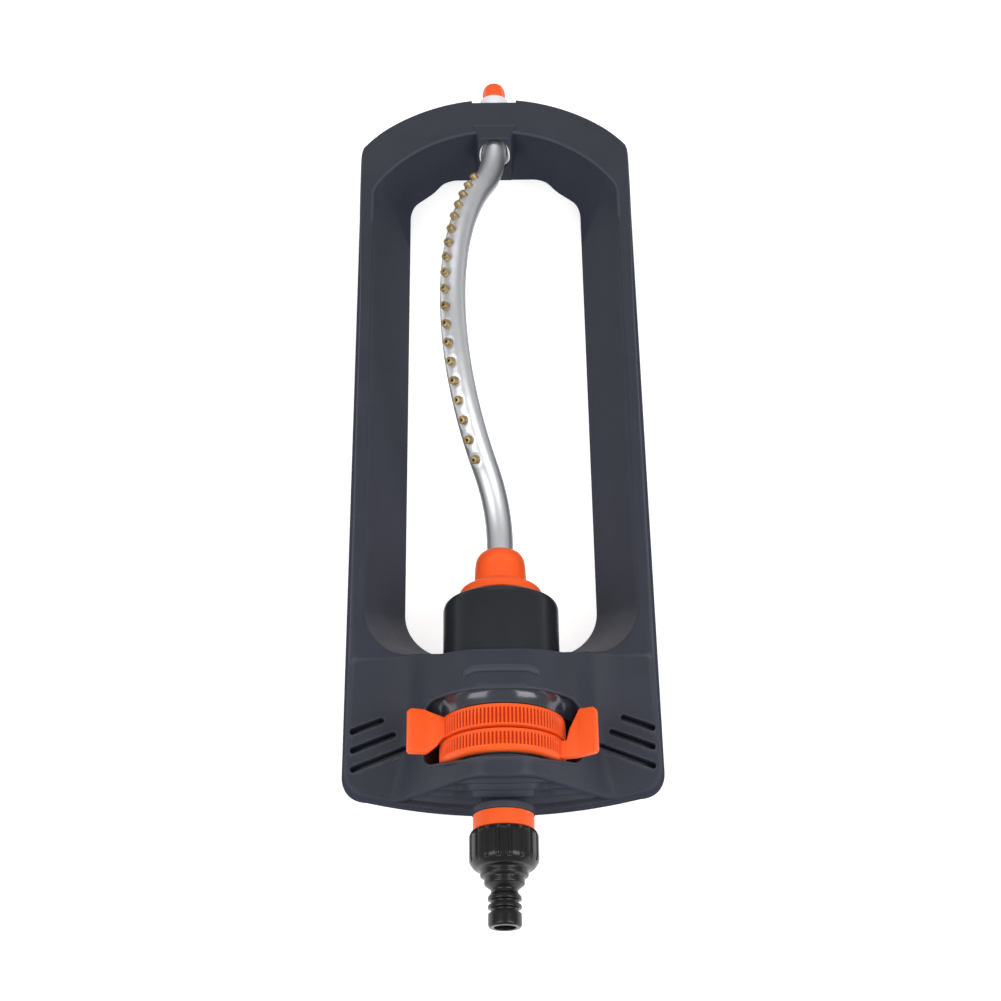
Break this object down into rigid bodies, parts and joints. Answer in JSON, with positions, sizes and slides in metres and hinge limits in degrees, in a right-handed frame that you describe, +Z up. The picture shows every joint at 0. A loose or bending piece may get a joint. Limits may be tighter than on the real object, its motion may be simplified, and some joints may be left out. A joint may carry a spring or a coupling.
{
  "type": "oscillating lawn sprinkler",
  "caption": "Oscillating lawn sprinkler: open grey frame, water motor with two orange range rings, bowed metal spray tube with brass jets, and a quick hose plug.",
  "frame": {"origin": "on the ground, under the middle of the whole object", "axes": "+Y along the spray tube from the hose end to the far bearing, +X to the right seen from the hose end, +Z up"},
  "size_m": [0.161, 0.4924, 0.079],
  "materials": {
    "frame_plastic": "fine moulded grain, charcoal grey",
    "motor_plastic": "smooth moulded, satin dark grey",
    "cover_plastic": "smooth moulded grey",
    "orange_plastic": "smooth moulded, satin orange",
    "black_plastic": "smooth moulded, glossy black",
    "white_plastic": "low-friction acetal, smooth",
    "yellow_plastic": "low-friction acetal, smooth",
    "tube_aluminium": "drawn tube, satin anodised",
    "jet_brass": "turned, slightly dulled",
    "steel": "bright stainless steel",
    "seal_rubber": "moulded black rubber"
  },
  "bodies": {
    "frame": {"base_frame": "frame_plastic", "motor_clamp": "cover_plastic", "clamp_screws": "steel", "motor_housing": "motor_plastic", "motor_front_cap": "cover_plastic", "motor_rear_cover": "cover_plastic", "rear_cover_screws": "steel", "front_cap_seal": "seal_rubber", "rear_cover_seal": "seal_rubber", "inlet_spigot": "orange_plastic", "inlet_seal": "seal_rubber", "inlet_filter": "white_plastic", "hose_adaptor": "black_plastic", "adaptor_washer": "seal_rubber", "jet_plate": "white_plastic", "toggle_spring": "steel", "gear_plate_front": "steel", "gear_plate_rear": "steel", "plate_spacers": "steel", "gear_pin": "steel", "far_bush": "white_plastic"},
    "spray_arm": {"output_gear": "yellow_plastic", "output_spindle": "white_plastic", "spindle_seal": "seal_rubber", "spindle_clip": "steel", "tube_collar": "orange_plastic", "spray_tube": "tube_aluminium", "jets": "jet_brass"},
    "rear_ring": {"rear_range_ring": "orange_plastic"},
    "front_ring": {"front_range_ring": "orange_plastic"},
    "diverter": {"diverter_plate": "white_plastic"},
    "turbine": {"turbine_rotor": "white_plastic", "turbine_shaft": "steel"},
    "first_gear": {"first_gear": "white_plastic"},
    "second_gear": {"second_gear": "yellow_plastic"},
    "third_gear": {"third_gear": "white_plastic"},
    "end_plug": {"end_plug": "orange_plastic", "end_plug_seal": "seal_rubber"}
  },
  "joints": [
    {"name": "tube_swing", "type": "hinge", "parent": "frame", "child": "spray_arm", "pos_m": [0, -0.1068, 0.036], "axis": [0, 1, 0], "range_deg": [-16, 84]},
    {"name": "rear_ring_turn", "type": "hinge", "parent": "frame", "child": "rear_ring", "pos_m": [0, -0.1534, 0.036], "axis": [0, 1, 0], "range_deg": [0, 52]},
    {"name": "front_ring_turn", "type": "hinge", "parent": "frame", "child": "front_ring", "pos_m": [0, -0.1654, 0.036], "axis": [0, 1, 0], "range_deg": [-52, 0]},
    {"name": "diverter_rock", "type": "hinge", "parent": "frame", "child": "diverter", "pos_m": [0, -0.1648, 0.036], "axis": [0, 1, 0], "range_deg": [-8, 8]},
    {"name": "third_gear_turn", "type": "hinge", "parent": "frame", "child": "third_gear", "pos_m": [0.01205, -0.1368, 0.036], "axis": [0, 1, 0], "continuous": true},
    {"name": "second_gear_turn", "type": "hinge", "parent": "frame", "child": "second_gear", "pos_m": [0, -0.1408, 0.036], "axis": [0, 1, 0], "continuous": true},
    {"name": "first_gear_turn", "type": "hinge", "parent": "frame", "child": "first_gear", "pos_m": [0.01205, -0.1448, 0.036], "axis": [0, 1, 0], "continuous": true},
    {"name": "turbine_spin", "type": "hinge", "parent": "frame", "child": "turbine", "pos_m": [0, -0.1558, 0.036], "axis": [0, 1, 0], "continuous": true},
    {"name": "end_plug_pull", "type": "slide", "parent": "spray_arm", "child": "end_plug", "axis": [0, 1, 0], "range_m": [0, 0.02]}
  ],
  "couplings": [
    {"joint": "third_gear_turn", "follows": "tube_swing", "ratio": -3},
    {"joint": "second_gear_turn", "follows": "tube_swing", "ratio": 9},
    {"joint": "first_gear_turn", "follows": "tube_swing", "ratio": -27},
    {"joint": "turbine_spin", "follows": "tube_swing", "ratio": 81}
  ]
}
